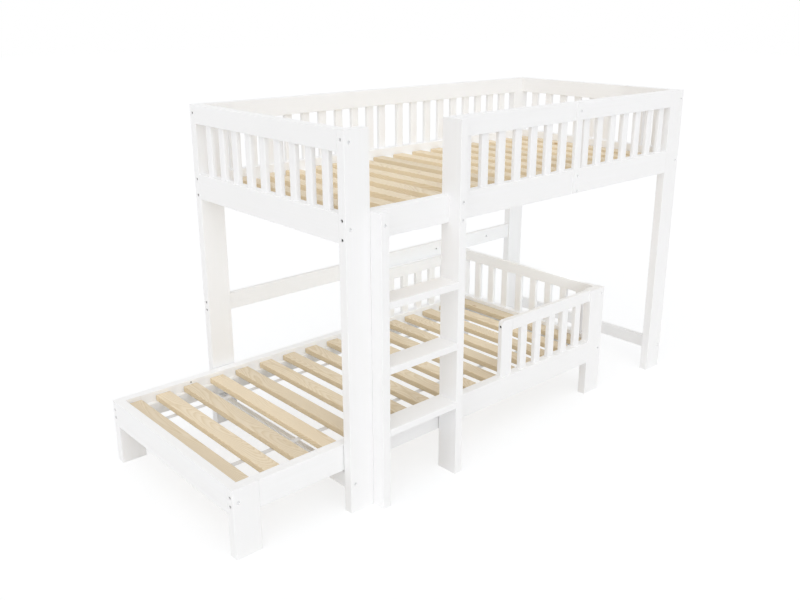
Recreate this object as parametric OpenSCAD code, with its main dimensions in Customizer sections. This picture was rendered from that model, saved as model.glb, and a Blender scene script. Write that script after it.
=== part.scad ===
// Timber loft bed with a ladder and spindle guards, and a low bed on short legs
// that slides lengthwise out from under it.
// Millimetres, +Z up. The origin is on the floor, under the middle of the whole outline.
// The long side with the ladder faces -Y, and the low bed sticks out at the -X end.

/* [Loft bed] */
// Length over the posts
loft_len = 2080; // [1960:10:2300]
// Depth over the posts
loft_dep = 1016; // [900:4:1200]
// Height of the posts
loft_h = 1436; // [1340:4:1700]
// Height of the underside of the loft's bed rails
rail_z = 1045; // [930:5:1110]
// Height of the underside of the mid rail at the back
mid_rail_z = 527; // [420:1:700]
// Height of the underside of the two low stretchers
stretcher_z = 88; // [40:1:95]

/* [Timber] */
// Thickness of posts, legs, rails and end boards
board_t = 40; // [36:1:48]
// Width of the loft's posts
post_w = 108; // [90:1:130]
// Height of the loft's bed rails
rail_h = 105; // [95:1:130]
// Height of the loft's top guard rails and of the mid rail
guard_h = 77; // [64:1:95]
// Height of the low stretchers
stretcher_h = 64; // [56:1:68]
// Height of the low bed's guard rails
slim_h = 55; // [46:1:64]
// Thickness of the low stretchers, of the mid rail and of the low bed's guard rails
slim_t = 22; // [20:1:30]
// Rounding of the long edges of the boards
edge_r = 2; // [1:0.5:6]

/* [Spindles] */
// Width of a spindle
spindle_w = 40; // [28:1:50]
// Thickness of a spindle
spindle_t = 20; // [14:1:24]
// Gap between two spindles
spindle_gap = 57; // [45:1:70]
// Gap between two spindles along the back of the loft
back_gap = 54.5; // [45:0.5:70]
// Depth of a spindle's tenon in its rail
tenon_len = 12; // [6:1:20]

/* [Mid joints of the long sides] */
// Length of the half lap
lap_len = 53; // [44:1:80]
// Width of the shallow reveal at the shoulder of the half lap
lap_reveal = 22; // [2:1:30]
// Depth of that reveal
reveal_deep = 5; // [1:1:12]

/* [Ladder] */
// Clear width between the ladder boards
ladder_clear = 346; // [300:1:420]
// Thickness of a ladder board
ladder_t = 36; // [30:1:44]
// How far the ladder boards stand out in front of the posts
ladder_out = 59; // [50:1:90]
// Thickness of a tread
tread_t = 28; // [22:1:36]
// Height of the top of the lowest tread
tread_z = 323; // [260:1:340]
// Rise from tread to tread
tread_rise = 250; // [210:1:255]
// How deep a tread is housed in each ladder board
housing = 10; // [5:1:14]

/* [Low bed] */
// Length of the low bed
bed_len = 2072; // [1960:4:2300]
// How far the low bed stands out past the loft
bed_out = 471; // [200:1:800]
// Height of the underside of the low bed's rails
bed_rail_z = 167; // [160:1:230]
// Height of the low bed's rails
bed_rail_h = 108; // [95:1:130]
// Width of the low bed's legs
leg_w = 105; // [90:1:130]
// Height of the low bed's guard above its rails
bed_guard_up = 259; // [200:1:320]
// Length of the low bed's side guards, corner leg included
bed_guard_len = 724; // [500:2:1100]
// Width of the upright that ends a side guard
stile_w = 70; // [50:1:90]
// Radius of that upright's top corner
stile_r = 17; // [4:1:24]
// Gap between the low bed and the loft's posts on each side
slide_gap = 3; // [2:0.5:8]

/* [Slats] */
// Width of a slat
slat_w = 66; // [50:1:90]
// Thickness of a slat
slat_t = 25; // [14:1:30]
// Greatest distance from slat to slat
slat_pitch = 130; // [100:1:160]
// How far the loft's slats lie below the top of their rails
slat_drop = 36; // [10:1:44]
// How far the low bed's slats lie below the top of their rails
bed_slat_drop = 18; // [10:1:40]
// Thickness of a ledger under the slats
ledger_t = 22; // [16:1:30]
// Height of a ledger
ledger_h = 30; // [20:1:34]
// Distance between the two tapes that hold the slats together
tape_span = 500; // [300:10:700]
// Width of a tape
tape_w = 25; // [15:1:40]

/* [Fasteners] */
// Diameter of a connector bolt
bolt_d = 6; // [5:0.5:8]
// Diameter of its head
head_d = 12; // [10:0.5:14]
// Height of its head
head_h = 5; // [4:0.5:7]
// How deep the heads are sunk
head_sink = 4; // [1:0.5:6]
// Diameter of a barrel nut
nut_d = 10; // [9:0.5:12]
// Length of a barrel nut
nut_len = 16; // [12:1:18]
// Distance of a barrel nut from the end of its board
nut_in = 34; // [25:1:45]
// Diameter of a wooden dowel
dowel_d = 8; // [6:0.5:10]
// Length of a wooden dowel
dowel_len = 34; // [24:1:44]

/* [Hidden] */
$fn = 32;

PAINT = "#e9e8e4";
PINE = "#d8b98c";
STEEL = "#4a4b4d";
BEECH = "#c9a06c";
TAPE = "#c3c4c0";

fit = 0.1;          // clearance round tenons, housings and nuts
dowel_fit = 0.05;   // clearance round a dowel
shank_fit = 0.5;    // clearance round a bolt's shank in the timber
head_fit = 0.3;     // clearance round a bolt's head
eps = 1;            // how far a cut runs past a face
bed_dep = loft_dep - 2 * board_t - 2 * slide_gap;

// Place of the loft and of the low bed in the whole outline
all_len = loft_len + bed_out;
all_dep = loft_dep + ladder_out;
loft_at = [bed_out - all_len / 2, ladder_out - all_dep / 2, 0];
bed_at = [-all_len / 2, loft_at.y + board_t + slide_gap, 0];

// Loft: heights
rail_top = rail_z + rail_h;
rail_mid = rail_z + rail_h / 2;
guard_z = loft_h - guard_h;
guard_mid = guard_z + guard_h / 2;
mid_rail_mid = mid_rail_z + guard_h / 2;
stretcher_mid = stretcher_z + stretcher_h / 2;
spindle_len = guard_z - rail_top;

// Loft: places along the long sides, from the left for the front, from the right for the back
ladder_left_x = post_w;
ladder_right_x = post_w + ladder_t + ladder_clear;
ladder_back = board_t - 1;
panel_x = ladder_right_x + ladder_t;
front_mid = (panel_x + loft_len - post_w) / 2;
back_mid = loft_len / 2;

// Heights of the bolts. Bolts that cross in a post pass above and below each other.
cross_gap = 4;
mid_bolt_up = 17.5;
rail_bolt_low = 15;
rail_bolt_high = 22;
rail_bolts = [rail_z + rail_bolt_low, rail_top - rail_bolt_high];
lap_bolt_low = 9.5;
lap_bolt_high = 31;
lap_rail_bolts = [rail_z + lap_bolt_low, rail_top - lap_bolt_high];
short_ladder_bolt = rail_mid + 7.5;
mid_bolts = [mid_rail_mid - mid_bolt_up, mid_rail_mid + mid_bolt_up];
guard_bolt_x = guard_mid + cross_gap;
guard_bolt_y = guard_mid - cross_gap;
end_bolts = [guard_bolt_y, rail_mid, stretcher_mid];
front_bolts = concat(rail_bolts, [guard_bolt_x]);
back_bolts = concat(front_bolts, mid_bolts);
bite = nut_in + nut_d;

// Low bed: heights and places
bed_rail_top = bed_rail_z + bed_rail_h;
bed_rail_mid = bed_rail_z + bed_rail_h / 2;
bed_top = bed_rail_top + bed_guard_up;
bed_guard_z = bed_top - slim_h;
bed_guard_mid = bed_guard_z + slim_h / 2;
bed_rail_bolts = [bed_rail_mid - mid_bolt_up, bed_rail_mid + mid_bolt_up];
bed_guard_bolt_x = bed_guard_mid + cross_gap;
bed_guard_bolt_y = bed_guard_mid - cross_gap;
bed_spindle_len = bed_guard_z - bed_rail_top;
slim_in = (board_t - slim_t) / 2;

// ---------- shapes ----------

// A rectangle with rounded corners
module eased(size, r = edge_r) {
    translate([r, 0]) square([size.x - 2 * r, size.y]);
    translate([0, r]) square([size.x, size.y - 2 * r]);
    for (x = [r, size.x - r], y = [r, size.y - r]) translate([x, y]) circle(r);
}

// Boards with their long edges rounded: along X, along Y and upright
module board_x(len, dep, high) {
    rotate([90, 0, 90]) linear_extrude(len) eased([dep, high]);
}
module board_y(len, wide, high, r = edge_r) {
    translate([0, len, 0]) rotate([90, 0, 0]) linear_extrude(len) eased([wide, high], r);
}
module board_z(wide, dep, high) {
    linear_extrude(high) eased([wide, dep]);
}

// Moves to one corner of a bed, with +X and +Y pointing into the bed
module corner(len, dep, right, back) {
    translate([right * len, back * dep, 0]) mirror([right, 0, 0]) mirror([0, back, 0]) children();
}
module in_loft() { translate(loft_at) children(); }
module in_bed() { translate(bed_at) children(); }
module loft_corner(right, back) { in_loft() corner(loft_len, loft_dep, right, back) children(); }
module bed_corner(right, back) { in_bed() corner(bed_len, bed_dep, right, back) children(); }

// The frame of a long side of the loft: the back is the front turned half round
module long_side(back) { loft_corner(back, back) children(); }

// Lines of a bolt in a corner: along X through the post's width, along Y through its thickness
module line_x(z, y = board_t / 2) { translate([0, y, z]) rotate([0, 90, 0]) children(); }
module line_y(z, x = board_t / 2) { translate([x, 0, z]) rotate([-90, 0, 0]) children(); }

// ---------- fasteners, each along +Z from the outer face of the timber ----------

module bolt(grip, reach, sink = head_sink) {
    color(STEEL) difference() {
        union() {
            translate([0, 0, sink]) cylinder(d = head_d, h = head_h);
            cylinder_from(bolt_d, sink + head_h, grip + reach);
        }
        translate([0, 0, sink - eps]) cylinder(d = head_d / 2, h = head_h * 0.7 + eps, $fn = 6);
    }
}

module cylinder_from(d, z0, z1) { translate([0, 0, z0]) cylinder(d = d, h = z1 - z0); }

// The hole for a bolt: a counterbore for the head, then the hole for the shank
module bolt_bore(grip, reach, sink = head_sink) {
    cylinder_from(head_d + 2 * head_fit, -eps, sink + head_h);
    cylinder_from(bolt_d + 2 * shank_fit, 0, grip + reach + eps);
}

// A barrel nut across the bolt. side = [0, 1] lays it along local Y, [1, 0] along local X.
module nut_line(grip, along_x) {
    translate([0, 0, grip + nut_in]) rotate(along_x ? [0, 90, 0] : [-90, 0, 0]) children();
}
module barrel_nut(grip, along_x) {
    color(STEEL) difference() {
        nut_line(grip, along_x) cylinder_from(nut_d, -nut_len / 2, nut_len / 2);
        cylinder_from(bolt_d + 2 * fit, grip, grip + bite + eps);
    }
}
// Its hole opens to one face only: to the bed's inside, or to the outside if out is 1
module nut_bore(grip, along_x, to_face, out = 0) {
    nut_line(grip, along_x) mirror([0, 0, out])
        cylinder_from(nut_d + 2 * fit, -nut_len / 2 - fit, to_face + eps);
}

// A threaded sleeve round the end of a bolt
module sleeve_nut(z0, z1) {
    color(STEEL) difference() {
        cylinder_from(nut_d, z0, z1);
        cylinder_from(bolt_d + 2 * fit, z0 - eps, z1 + eps);
    }
}
module sleeve_bore(z0, z1) { cylinder_from(nut_d + 2 * fit, z0, z1); }

// A dowel across the face at height z along the line
module dowel(z) { color(BEECH) cylinder_from(dowel_d, z - dowel_in, z + dowel_len - dowel_in); }
module dowel_bore(z) {
    cylinder_from(dowel_d + 2 * dowel_fit, z - dowel_in - fit, z + dowel_len - dowel_in + fit);
}
dowel_in = 11;

// ---------- spindles ----------

shoulder_w = 7;     // shoulders beside and in front of a tenon
shoulder_t = 4;
tenon_w = spindle_w - 2 * shoulder_w;
tenon_t = spindle_t - 2 * shoulder_t;

// A spindle with a stub tenon at each end, centred on the origin, standing on z = 0
module spindle(len) {
    translate([-spindle_w / 2, -spindle_t / 2, 0]) linear_extrude(len)
        eased([spindle_w, spindle_t], min(edge_r, spindle_t / 5));
    translate([-tenon_w / 2, -tenon_t / 2, -tenon_len]) cube([tenon_w, tenon_t, len + 2 * tenon_len]);
}

// The pair of mortises for it, in the rail below and in the rail above
module mortises(len) {
    translate([-tenon_w / 2 - fit, -tenon_t / 2 - fit, -tenon_len - eps])
        cube([tenon_w + 2 * fit, tenon_t + 2 * fit, len + 2 * tenon_len + 2 * eps]);
}

// Middles of a row of spindles, centred between x0 and x1
row_least = 25;     // least gap beside the first and the last spindle
function row(x0, x1, gap = spindle_gap) =
    let (pitch = spindle_w + gap, n = floor((x1 - x0 + gap - 2 * row_least) / pitch))
    [for (i = [0 : n - 1]) (x0 + x1 - (n - 1) * pitch) / 2 + i * pitch];

// ---------- loft: posts and ends ----------

module post(x_bolts) {
    color(PAINT) difference() {
        board_z(post_w, board_t, loft_h);
        for (z = x_bolts) line_x(z) bolt_bore(post_w, 0);
        for (z = end_bolts) line_y(z) bolt_bore(board_t, 0);
        end_dowel_places() dowel_bore(board_t);
        if (len(x_bolts) > 2) guard_dowel_places() dowel_bore(post_w);
    }
}
module post_front_left() { loft_corner(0, 0) post(front_bolts); }
module post_front_right() { loft_corner(1, 0) post(front_bolts); }
module post_back_left() { loft_corner(0, 1) post(back_bolts); }
module post_back_right() { loft_corner(1, 1) post(back_bolts); }

// Dowels between a post and the end boards, and between a post and a guard rail of a long side
rail_dowel_up = 20;
guard_dowel_up = 26;
end_dowels = [
    for (s = [-1, 1]) rail_mid + s * rail_dowel_up,
    for (s = [-1, 1]) guard_mid + s * guard_dowel_up,
    for (s = [-1, 1]) stretcher_mid + s * rail_dowel_up
];
module end_dowel_places() { for (z = end_dowels) line_y(z) children(); }
module guard_dowel_places() { for (s = [-1, 1]) line_x(guard_mid + s * guard_dowel_up) children(); }

module end_board(right, z0, high, bolt_z, thick = board_t) {
    color(PAINT) difference() {
        loft_corner(right, 0) translate([(board_t - thick) / 2, board_t, z0])
            board_y(loft_dep - 2 * board_t, thick, high);
        for (back = [0, 1]) loft_corner(right, back) {
            line_y(bolt_z) cylinder_from(bolt_d + 2 * shank_fit, board_t - eps, board_t + bite + eps);
            line_y(bolt_z) nut_bore(board_t, true, thick / 2, right);
            for (z = end_dowels) if (z > z0 && z < z0 + high) line_y(z) dowel_bore(board_t);
        }
        if (z0 != stretcher_z) end_spindle_places(right) mortises(spindle_len);
    }
}
module end_spindle_places(right) {
    loft_corner(right, 0) for (y = row(board_t, loft_dep - board_t))
        translate([board_t / 2, y, rail_top]) rotate(90) children();
}
module end_guard_rail_left() { end_board(0, guard_z, guard_h, guard_bolt_y); }
module end_guard_rail_right() { end_board(1, guard_z, guard_h, guard_bolt_y); }
module end_bed_rail_left() { end_board(0, rail_z, rail_h, rail_mid); }
module end_bed_rail_right() { end_board(1, rail_z, rail_h, rail_mid); }
module end_stretcher_left() { end_board(0, stretcher_z, stretcher_h, stretcher_mid, slim_t); }
module end_stretcher_right() { end_board(1, stretcher_z, stretcher_h, stretcher_mid, slim_t); }
module end_spindles_left() { color(PAINT) end_spindle_places(0) spindle(spindle_len); }
module end_spindles_right() { color(PAINT) end_spindle_places(1) spindle(spindle_len); }

// ---------- loft: long sides, in halves with a bolted half lap ----------

// Each rail is cut to half its thickness over the lap. The near half runs from its start
// to the end of the lap and keeps its inner side; the far half starts at the lap.
// A rail of the thickness thick lies in the middle of the posts' thickness.
module near_half(x0, mid, z0, high, thick) {
    y0 = (board_t - thick) / 2;
    difference() {
        translate([x0, y0, z0]) board_x(mid + lap_len - x0, thick, high);
        translate([mid - lap_reveal, y0 - eps, z0 - eps])
            cube([lap_reveal + lap_len, reveal_deep + eps, high + 2 * eps]);
        translate([mid, y0 - eps, z0 - eps]) cube([lap_len + eps, thick / 2 + eps, high + 2 * eps]);
    }
}
module far_half(mid, z0, high, thick) {
    difference() {
        translate([mid, (board_t - thick) / 2, z0]) board_x(loft_len - post_w - mid, thick, high);
        translate([mid - eps, board_t / 2, z0 - eps])
            cube([lap_len + eps, thick / 2 + eps, high + 2 * eps]);
    }
}
// Lines of the lap's bolts, from the rail's outer face. Each ends in a sleeve nut that is
// set into the inner half from the face of the lap, so nothing shows inside.
module lap_places(mid, zs, thick) {
    for (z = zs) line_y(z, mid + lap_len / 2) translate([0, 0, (board_t - thick) / 2]) children();
}
lap_cover = 5;      // wood left over the sleeve nut
slim_sink = 1;      // how deep the heads are sunk in a thin rail
function lap_sink(thick) = thick < board_t ? slim_sink : head_sink;
module lap_bore(thick) {
    bolt_bore(thick - lap_cover - eps, 0, lap_sink(thick));
    sleeve_bore(thick / 2, thick - lap_cover);
}

// Holes in the end of a rail, for the bolts that come through the post
module rail_end_bores(zs, thick, back) {
    for (z = zs) line_x(z) {
        cylinder_from(bolt_d + 2 * shank_fit, post_w - eps, post_w + bite + eps);
        nut_bore(post_w, false, thick / 2, back);
    }
}

// Spindles of a long side: one row in the near half, one in the far half
stile_lead = 10;    // the far row's middle lies this much nearer to the upright at the lap
module side_spindle_places(back, far) {
    mid = back ? back_mid : front_mid;
    near_x = back ? post_w : panel_x;
    gap = back ? back_gap : spindle_gap;
    for (x = far ? row(mid + spindle_w - stile_lead, loft_len - post_w, gap) : row(near_x, mid, gap))
        translate([x, board_t / 2, rail_top]) children();
}
// The upright at the lap stands in the outer half of the far rails, flush with their ends
module lap_stile_place(mid) {
    translate([mid + spindle_w / 2, spindle_t / 2, rail_top]) children();
}

module side_rail_near(back, x0, z0, high, post_zs, lap_zs, thick = board_t) {
    mid = back ? back_mid : front_mid;
    color(PAINT) long_side(back) difference() {
        near_half(x0, mid, z0, high, thick);
        rail_end_bores(post_zs, thick, back);
        lap_places(mid, lap_zs, thick) lap_bore(thick);
        if (z0 != mid_rail_z) side_spindle_places(back, false) mortises(spindle_len);
        if (z0 == rail_z) loft_screw_places() screw_bore();
        if (z0 == mid_rail_z) spare_places() cylinder_from(spare_d, -spare_deep, eps);
        if (z0 == guard_z && back == 1) guard_dowel_places() dowel_bore(post_w);
        if (z0 == guard_z && back == 0) panel_dowel_places() dowel_bore(0);
        if (z0 == rail_z && back == 0) ladder_places() ladder_bore();
    }
}
module side_rail_far(back, z0, high, post_zs, lap_zs, thick = board_t) {
    mid = back ? back_mid : front_mid;
    color(PAINT) difference() {
        long_side(back) difference() {
            far_half(mid, z0, high, thick);
            lap_places(mid, lap_zs, thick) lap_bore(thick);
            if (z0 != mid_rail_z) side_spindle_places(back, true) mortises(spindle_len);
            if (z0 != mid_rail_z) lap_stile_place(mid) mortises(spindle_len);
            if (z0 == rail_z) loft_screw_places() screw_bore();
        }
        loft_corner(1 - back, back) {
            rail_end_bores(post_zs, thick, back);
            if (z0 == guard_z) guard_dowel_places() dowel_bore(post_w);
        }
    }
}
module front_bed_rail_left() { side_rail_near(0, post_w, rail_z, rail_h, rail_bolts, lap_rail_bolts); }
module front_bed_rail_right() { side_rail_far(0, rail_z, rail_h, rail_bolts, lap_rail_bolts); }
module front_guard_rail_left() { side_rail_near(0, panel_x, guard_z, guard_h, [], [guard_mid]); }
module front_guard_rail_right() { side_rail_far(0, guard_z, guard_h, [guard_bolt_x], [guard_mid]); }
module back_bed_rail_right() { side_rail_near(1, post_w, rail_z, rail_h, rail_bolts, lap_rail_bolts); }
module back_bed_rail_left() { side_rail_far(1, rail_z, rail_h, rail_bolts, lap_rail_bolts); }
module back_guard_rail_right() { side_rail_near(1, post_w, guard_z, guard_h, [guard_bolt_x], [guard_mid]); }
module back_guard_rail_left() { side_rail_far(1, guard_z, guard_h, [guard_bolt_x], [guard_mid]); }
module back_mid_rail_right() {
    side_rail_near(1, post_w, mid_rail_z, guard_h, mid_bolts, mid_bolts, slim_t);
}
module back_mid_rail_left() { side_rail_far(1, mid_rail_z, guard_h, mid_bolts, mid_bolts, slim_t); }

// Two spare screw holes in the inner face of the mid rail
spare_d = 10;
spare_deep = 12;
spare_at = [296, 693];
module spare_places() {
    for (x = spare_at) translate([x, board_t - slim_in, mid_rail_mid]) rotate([-90, 0, 0]) children();
}

module side_spindles(back) {
    mid = back ? back_mid : front_mid;
    color(PAINT) long_side(back) {
        side_spindle_places(back, false) spindle(spindle_len);
        side_spindle_places(back, true) spindle(spindle_len);
        lap_stile_place(mid) spindle(spindle_len);
    }
}
module front_spindles() { side_spindles(0); }
module back_spindles() { side_spindles(1); }

// ---------- ladder ----------

ladder_dep = ladder_out + ladder_back;
front_stop = 12;    // the housings stop this far behind the front edge
treads = [tread_z, tread_z + tread_rise, tread_z + 2 * tread_rise];
ladder_top = loft_h - 2;
ladder_bite = 0.6 * board_t;    // how far the ladder bolts reach into the rail

module ladder_board(x0, top) {
    translate([x0, -ladder_out, 0]) board_z(ladder_t, ladder_dep, top);
}
// Notch in the back edge, in which the bed rail lies
module rail_notch(x0) {
    translate([x0 - eps, 0, rail_z - fit]) cube([ladder_t + 2 * eps, board_t, rail_h + 2 * fit]);
}
// Stopped housings for the treads, cut into a board's inner face
module housings(inner_x) {
    for (z = treads) translate([inner_x - housing - fit, front_stop - ladder_out - fit, z - tread_t])
        cube([2 * (housing + fit), ladder_dep, tread_t]);
}
module ladder_places() {
    line_y(short_ladder_bolt, ladder_left_x + ladder_t / 2) translate([0, 0, -ladder_out]) children();
    for (z = rail_bolts) line_y(z, ladder_right_x + ladder_t / 2) translate([0, 0, -ladder_out]) children();
}
module ladder_bore() {
    bolt_bore(ladder_out, ladder_bite);
    sleeve_bore(ladder_out, ladder_out + ladder_bite);
}
// Dowels between the tall ladder board and the guard rail beside it
module panel_dowel_places() {
    for (s = [-1, 1]) translate([panel_x, board_t / 2, guard_mid + s * guard_dowel_up])
        rotate([0, 90, 0]) children();
}
module ladder_board_left() {
    color(PAINT) in_loft() difference() {
        ladder_board(ladder_left_x, rail_top);
        translate([ladder_left_x - eps, 0, rail_z - fit]) cube([ladder_t + 2 * eps, board_t, rail_h + eps]);
        housings(ladder_left_x + ladder_t);
        ladder_places() bolt_bore(ladder_out, 0);
    }
}
module ladder_board_right() {
    color(PAINT) in_loft() difference() {
        ladder_board(ladder_right_x, ladder_top);
        rail_notch(ladder_right_x);
        housings(ladder_right_x);
        ladder_places() bolt_bore(ladder_out, 0);
        panel_dowel_places() dowel_bore(0);
    }
}
module tread(z) {
    color(PAINT) in_loft() {
        translate([ladder_left_x + ladder_t, -ladder_out, z - tread_t])
            board_x(ladder_clear, ladder_dep, tread_t);
        translate([ladder_left_x + ladder_t - housing, front_stop - ladder_out, z - tread_t])
            board_x(ladder_clear + 2 * housing, ladder_dep - front_stop, tread_t);
    }
}
module tread_low() { tread(treads[0]); }
module tread_middle() { tread(treads[1]); }
module tread_high() { tread(treads[2]); }

// ---------- slats of a bed that is len long and dep deep, with their tops at top ----------

slat_play = 2;      // room at the ends of the slats and of the ledgers
tape_t = 1;

module slats(len, dep, top) {
    inner = len - 2 * board_t - 2 * slat_play;
    n = ceil((inner - slat_w) / slat_pitch) + 1;
    step = (inner - slat_w) / (n - 1);
    color(PINE) for (i = [0 : n - 1])
        translate([board_t + slat_play + i * step, board_t + slat_play, top - slat_t])
            board_y(dep - 2 * board_t - 2 * slat_play, slat_w, slat_t, min(edge_r, slat_t / 4));
}
module slat_tapes(len, dep, top) {
    color(TAPE) for (s = [-1, 1])
        translate([board_t + slat_play, dep / 2 + s * tape_span / 2 - tape_w / 2, top - slat_t - tape_t])
            cube([len - 2 * board_t - 2 * slat_play, tape_w, tape_t]);
}
// Ledgers on the inner faces of both long sides, in two lengths each
function ledger_len(len) = (len - 2 * board_t) / 2 - 2 * slat_play;
function ledger_z(top) = top - slat_t - ledger_h;
loft_slat_top = rail_top - slat_drop;
bed_slat_top = bed_rail_top - bed_slat_drop;
module ledgers(len, dep, top) {
    color(PAINT) for (back = [0, 1], half = [0, 1]) corner(len, dep, half, back) difference() {
        translate([board_t + slat_play, board_t, ledger_z(top)])
            cube([ledger_len(len), ledger_t, ledger_h]);
        screw_row(len, top) screw_bore();
    }
}
// The screws of one ledger, in the frame of its corner; +Z runs from the head into the rail
ledger_screws = 4;
module screw_row(len, top) {
    for (i = [0 : ledger_screws - 1])
        translate([board_t + slat_play + (i + 0.5) * ledger_len(len) / ledger_screws,
            board_t + ledger_t, ledger_z(top) + ledger_h / 2]) rotate([90, 0, 0]) children();
}
screw_d = 4;
screw_head_d = 8;
screw_head_h = 3;
screw_bite = 14;    // how far a screw reaches into the rail
module screw() {
    color(STEEL) difference() {
        union() {
            cylinder(d = screw_head_d, h = screw_head_h);
            cylinder_from(screw_d, screw_head_h, ledger_t + screw_bite);
        }
        translate([0, 0, -eps]) cylinder(d = screw_d, h = eps + screw_head_h / 2, $fn = 6);
    }
}
module screw_bore() {
    cylinder_from(screw_head_d + 2 * fit, -eps, screw_head_h);
    cylinder_from(screw_d + 2 * fit, 0, ledger_t + screw_bite + eps);
}
// Both ledgers' screws of one side of the loft, in the frame of that side
module loft_screw_places() {
    for (half = [0, 1]) corner(loft_len, loft_dep, half, 0) screw_row(loft_len, loft_slat_top) children();
}
module loft_slats() { in_loft() slats(loft_len, loft_dep, loft_slat_top); }
module loft_slat_tapes() { in_loft() slat_tapes(loft_len, loft_dep, loft_slat_top); }
module loft_ledgers() { in_loft() ledgers(loft_len, loft_dep, loft_slat_top); }

// ---------- loft: fasteners ----------

// The front left post has no guard rail beside it, so its top hole stays empty
function loft_x_bolts(right, back) = back ? back_bolts : right ? front_bolts : rail_bolts;

module loft_bolts() {
    for (right = [0, 1], back = [0, 1]) loft_corner(right, back) {
        for (z = loft_x_bolts(right, back)) line_x(z) bolt(post_w, bite);
        for (z = end_bolts) line_y(z) bolt(board_t, bite);
    }
}
module loft_barrel_nuts() {
    for (right = [0, 1], back = [0, 1]) loft_corner(right, back) {
        for (z = loft_x_bolts(right, back)) line_x(z) barrel_nut(post_w, false);
        for (z = end_bolts) line_y(z) barrel_nut(board_t, true);
    }
}
module loft_dowels() {
    for (right = [0, 1], back = [0, 1]) loft_corner(right, back) {
        end_dowel_places() dowel(board_t);
        if (right || back) guard_dowel_places() dowel(post_w);
    }
    in_loft() panel_dowel_places() dowel(0);
}
lap_zs = concat(lap_rail_bolts, [guard_mid]);
module thick_lap_places() {
    long_side(0) lap_places(front_mid, lap_zs, board_t) children();
    long_side(1) lap_places(back_mid, lap_zs, board_t) children();
}
module slim_lap_places() { long_side(1) lap_places(back_mid, mid_bolts, slim_t) children(); }
bolt_short = 1;     // how far a bolt ends before the end of its sleeve nut
module lap_bolt(thick) { bolt(thick, -lap_cover - bolt_short, lap_sink(thick)); }
module lap_nut(thick) { sleeve_nut(thick / 2, thick - lap_cover); }
module lap_bolts() {
    thick_lap_places() lap_bolt(board_t);
    slim_lap_places() lap_bolt(slim_t);
}
module ladder_bolts() { in_loft() ladder_places() bolt(ladder_out, ladder_bite - bolt_short); }
module sleeve_nuts() {
    thick_lap_places() lap_nut(board_t);
    slim_lap_places() lap_nut(slim_t);
    in_loft() ladder_places() sleeve_nut(ladder_out, ladder_out + ladder_bite);
}
module loft_ledger_screws() { for (back = [0, 1]) long_side(back) loft_screw_places() screw(); }

// ---------- low bed ----------

// A leg. Those at the right end run up to the guard and carry its rails.
module leg(tall) {
    color(PAINT) difference() {
        board_z(leg_w, board_t, tall ? bed_top : bed_rail_top);
        for (z = bed_rail_bolts) line_x(z) bolt_bore(leg_w, 0);
        line_y(bed_rail_mid) bolt_bore(board_t, 0);
        bed_end_dowel_places() dowel_bore(board_t);
        if (tall) {
            line_x(bed_guard_bolt_x) bolt_bore(leg_w, 0);
            line_y(bed_guard_bolt_y) bolt_bore(board_t, 0);
        }
    }
}
module leg_front_left() { bed_corner(0, 0) leg(false); }
module leg_front_right() { bed_corner(1, 0) leg(true); }
module leg_back_left() { bed_corner(0, 1) leg(false); }
module leg_back_right() { bed_corner(1, 1) leg(true); }

bed_dowel_up = 36;
module bed_end_dowel_places() { for (s = [-1, 1]) line_y(bed_rail_mid + s * bed_dowel_up) children(); }

module bed_end_board(right) {
    color(PAINT) difference() {
        bed_corner(right, 0) translate([0, board_t, bed_rail_z])
            board_y(bed_dep - 2 * board_t, board_t, bed_rail_h);
        for (back = [0, 1]) bed_corner(right, back) {
            line_y(bed_rail_mid) cylinder_from(bolt_d + 2 * shank_fit, board_t - eps, board_t + bite + eps);
            line_y(bed_rail_mid) nut_bore(board_t, true, board_t / 2, right);
            bed_end_dowel_places() dowel_bore(board_t);
        }
        if (right) bed_end_spindle_places() mortises(bed_spindle_len);
    }
}
module bed_end_board_left() { bed_end_board(0); }
module bed_end_board_right() { bed_end_board(1); }

module bed_side_rail(back) {
    color(PAINT) in_bed() difference() {
        corner(bed_len, bed_dep, 0, back) translate([leg_w, 0, bed_rail_z])
            board_x(bed_len - 2 * leg_w, board_t, bed_rail_h);
        for (right = [0, 1]) corner(bed_len, bed_dep, right, back) for (z = bed_rail_bolts) line_x(z) {
            cylinder_from(bolt_d + 2 * shank_fit, leg_w - eps, leg_w + bite + eps);
            nut_bore(leg_w, false, board_t / 2, back);
        }
        bed_side_spindle_places(back) mortises(bed_spindle_len);
        stile_dowel_places(back) dowel_bore(0);
        bed_screw_places(back) screw_bore();
    }
}
module bed_screw_places(back) {
    for (right = [0, 1]) corner(bed_len, bed_dep, right, back) screw_row(bed_len, bed_slat_top) children();
}
module bed_side_rail_front() { bed_side_rail(0); }
module bed_side_rail_back() { bed_side_rail(1); }

// Places in the guard, measured from the right end of the bed
stile_x = bed_guard_len;
module bed_side_spindle_places(back) {
    corner(bed_len, bed_dep, 1, back) for (x = row(leg_w, stile_x - stile_w))
        translate([x, board_t / 2, bed_rail_top]) children();
}
module bed_end_spindle_places() {
    bed_corner(1, 0) for (y = row(board_t, bed_dep - board_t))
        translate([board_t / 2, y, bed_rail_top]) rotate(90) children();
}
module stile_dowel_places(back) {
    corner(bed_len, bed_dep, 1, back) for (s = [-1, 1])
        translate([stile_x - stile_w / 2 + s * stile_w / 4, board_t / 2, bed_rail_top]) children();
}
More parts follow.
